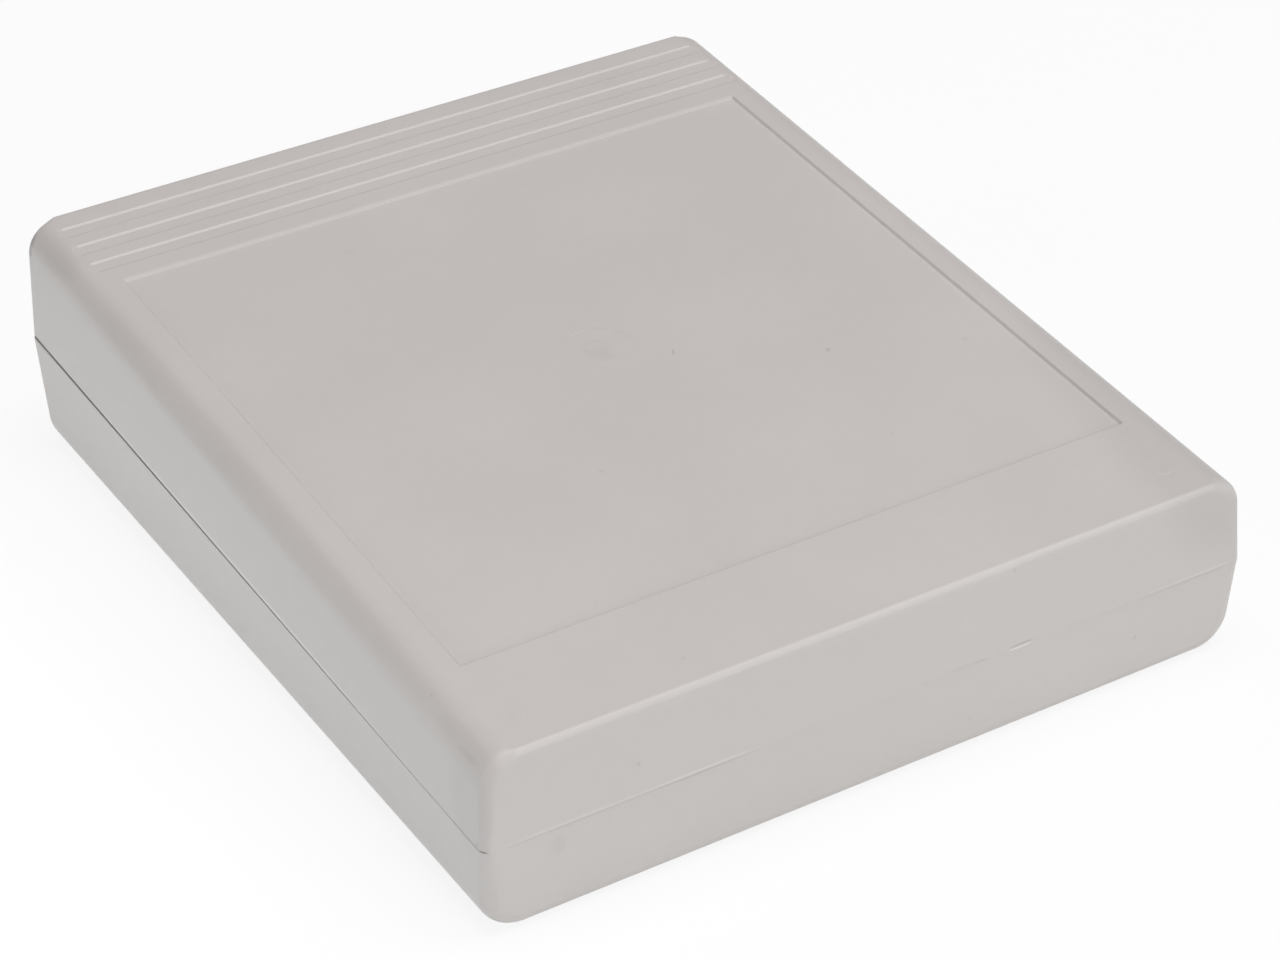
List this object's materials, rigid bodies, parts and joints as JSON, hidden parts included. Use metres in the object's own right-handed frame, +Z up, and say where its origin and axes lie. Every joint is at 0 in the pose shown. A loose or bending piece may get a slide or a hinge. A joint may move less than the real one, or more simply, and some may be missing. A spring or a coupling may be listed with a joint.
{
  "type": "plastic project box",
  "caption": "Low plastic enclosure with a sloping top, a shallow label recess and grip grooves, in two shells that part along an inclined seam and close with screws from below.",
  "frame": {"origin": "middle of the underside", "axes": "+X to the right seen from the low front end, +Y to the tall back end, +Z up"},
  "size_m": [0.1252, 0.147, 0.0397],
  "materials": {
    "shell_plastic": "warm light grey ABS with a fine satin mould texture",
    "screw_steel": "bright zinc-plated steel"
  },
  "bodies": {
    "base": {"bottom_shell": "shell_plastic", "screw_front_left": "screw_steel", "screw_front_right": "screw_steel", "screw_back_left": "screw_steel", "screw_back_right": "screw_steel"},
    "lid": {"top_shell": "shell_plastic"}
  },
  "joints": [
    {"name": "lid_lift", "type": "slide", "parent": "base", "child": "lid", "axis": [0, 0, 1], "range_m": [0, 0.05]}
  ]
}
